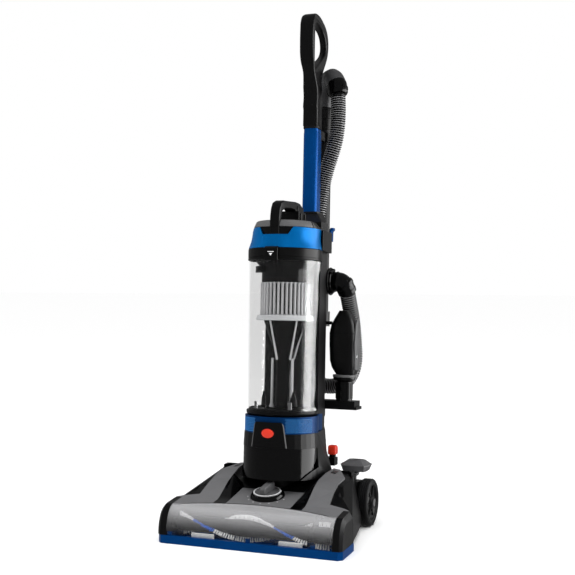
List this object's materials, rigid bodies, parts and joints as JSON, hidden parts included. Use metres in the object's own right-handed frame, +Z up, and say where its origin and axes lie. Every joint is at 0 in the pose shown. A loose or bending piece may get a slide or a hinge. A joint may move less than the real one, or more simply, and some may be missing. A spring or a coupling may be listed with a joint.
{
  "type": "upright vacuum cleaner",
  "caption": "Upright bagless vacuum cleaner with wide brush nozzle, clear dirt tank, loop handle, stretch hose, wand and a stowed hand tool.",
  "frame": {"origin": "centre of the machine's footprint on the floor, midway between the nozzle's front edge and the wand's rear", "axes": "X across the machine, +Y from the nozzle's front to the rear, +Z up"},
  "size_m": [0.376, 0.4829, 1.108],
  "materials": {
    "belt_rubber": "matte",
    "black_gloss": "gloss",
    "black_matte": "matte",
    "black_satin": "satin",
    "blue_band": "satin",
    "blue_gloss": "gloss",
    "bristle_white": "matte",
    "charcoal": "satin",
    "clear_smoke": "clear",
    "clear_tank": "clear",
    "felt": "matte",
    "filter_pleat": "matte",
    "foam": "matte",
    "grey_cover": "satin",
    "grey_light": "satin",
    "hose_plastic": "satin",
    "motor_alloy": "satin",
    "red": "satin",
    "screen_grey": "satin",
    "steel": "satin",
    "tyre_rubber": "satin"
  },
  "bodies": {
    "foot": {"nozzle_base": "blue_gloss", "foot_chassis": "black_satin", "foot_cover": "grey_cover", "nozzle_window": "clear_smoke", "end_cap_left": "black_satin", "end_cap_right": "black_satin", "brush_bearings": "charcoal", "drive_belt": "belt_rubber", "dial_bezel": "black_gloss", "foot_axles": "steel", "pedal_spring": "steel", "foot_screws": "steel", "felt_strips": "felt", "suction_duct": "black_matte"},
    "brush_roll": {"brush_core": "charcoal", "brush_bristles": "bristle_white"},
    "wheel_left": {"tyre_left": "tyre_rubber", "hub_left": "black_satin"},
    "wheel_right": {"tyre_right": "tyre_rubber", "hub_right": "black_satin"},
    "roller_left": {"roller_left": "charcoal"},
    "roller_right": {"roller_right": "charcoal"},
    "dial": {"height_dial": "grey_light"},
    "foot_pedal": {"release_pedal": "grey_light"},
    "upright": {"motor_housing": "black_satin", "exhaust_grille": "blue_band", "badge_panel": "black_gloss", "rear_spine": "charcoal", "spine_collar": "blue_gloss", "handle_tube": "blue_gloss", "grip_loop": "black_satin", "motor_can": "motor_alloy", "exhaust_filter": "filter_pleat", "wand": "grey_light", "wand_clips": "black_satin", "wand_elbow": "charcoal", "stretch_hose": "hose_plastic", "hose_port": "black_satin", "port_elbow": "black_gloss", "tool_bracket": "black_satin", "lower_cord_hook": "black_satin", "cord_inlet": "black_matte", "spine_screws": "steel"},
    "rotor": {"motor_shaft": "steel", "impeller": "motor_alloy"},
    "power_switch": {"power_pedal": "red"},
    "cord_hook": {"upper_cord_hook": "blue_gloss"},
    "tank": {"tank_wall": "clear_tank", "tank_door": "black_satin", "tank_rim": "black_satin", "separator_cone": "black_gloss", "shroud_screen": "screen_grey", "dust_funnel": "black_gloss", "foam_filter": "foam"},
    "lid": {"lid_band": "blue_gloss", "lid_top": "grey_light", "carry_handle": "black_satin"},
    "tank_latch": {"tank_button": "black_gloss"},
    "hand_tool": {"tool_body": "black_gloss", "tool_collar": "black_satin"}
  },
  "joints": [
    {"name": "recline", "type": "hinge", "parent": "foot", "child": "upright", "pos_m": [0, -0.0582, 0.06], "axis": [-1, 0, 0], "range_deg": [0, 45]},
    {"name": "brush_spin", "type": "hinge", "parent": "foot", "child": "brush_roll", "pos_m": [0, -0.2032, 0.034], "axis": [1, 0, 0], "continuous": true},
    {"name": "motor_spin", "type": "hinge", "parent": "upright", "child": "rotor", "pos_m": [0, -0.0582, 0.06], "axis": [1, 0, 0], "continuous": true},
    {"name": "wheel_left_spin", "type": "hinge", "parent": "foot", "child": "wheel_left", "pos_m": [-0.158, 0.0428, 0.049], "axis": [1, 0, 0], "continuous": true},
    {"name": "wheel_right_spin", "type": "hinge", "parent": "foot", "child": "wheel_right", "pos_m": [0.158, 0.0428, 0.049], "axis": [1, 0, 0], "continuous": true},
    {"name": "roller_left_spin", "type": "hinge", "parent": "foot", "child": "roller_left", "pos_m": [-0.0585, -0.1422, 0.01], "axis": [1, 0, 0], "continuous": true},
    {"name": "roller_right_spin", "type": "hinge", "parent": "foot", "child": "roller_right", "pos_m": [0.0585, -0.1422, 0.01], "axis": [1, 0, 0], "continuous": true},
    {"name": "dial_turn", "type": "hinge", "parent": "foot", "child": "dial", "pos_m": [0, -0.1312, 0.0836], "axis": [0, -0.169, 0.9856], "range_deg": [-60, 60]},
    {"name": "pedal_press", "type": "hinge", "parent": "foot", "child": "foot_pedal", "pos_m": [0.124, 0.0048, 0.104], "axis": [-1, 0, 0], "range_deg": [0, 12], "stiffness_Nm_per_rad": 3, "springref_deg": -2.86, "deforming": ["pedal_spring"]},
    {"name": "power_press", "type": "slide", "parent": "upright", "child": "power_switch", "axis": [0, -0.0436, -0.999], "range_m": [0, 0.005], "stiffness_N_per_m": 600, "springref_m": -0.002},
    {"name": "cord_hook_turn", "type": "hinge", "parent": "upright", "child": "cord_hook", "pos_m": [0.044, 0.1259, 0.60849], "axis": [1, 0, 0], "range_deg": [-180, 0]},
    {"name": "tank_slide", "type": "slide", "parent": "upright", "child": "tank", "axis": [0, -0.999, 0.0436], "range_m": [0, 0.2]},
    {"name": "lid_lift", "type": "slide", "parent": "tank", "child": "lid", "axis": [0, 0.0436, 0.999], "range_m": [0, 0.08]},
    {"name": "tank_button_press", "type": "slide", "parent": "tank", "child": "tank_latch", "axis": [0, -0.0436, -0.999], "range_m": [0, 0.003], "stiffness_N_per_m": 800, "springref_m": -0.002},
    {"name": "tool_pull", "type": "slide", "parent": "upright", "child": "hand_tool", "axis": [1, 0, 0], "range_m": [0, 0.1]}
  ],
  "couplings": [
    {"joint": "motor_spin", "follows": "brush_spin", "ratio": 1.5375}
  ]
}
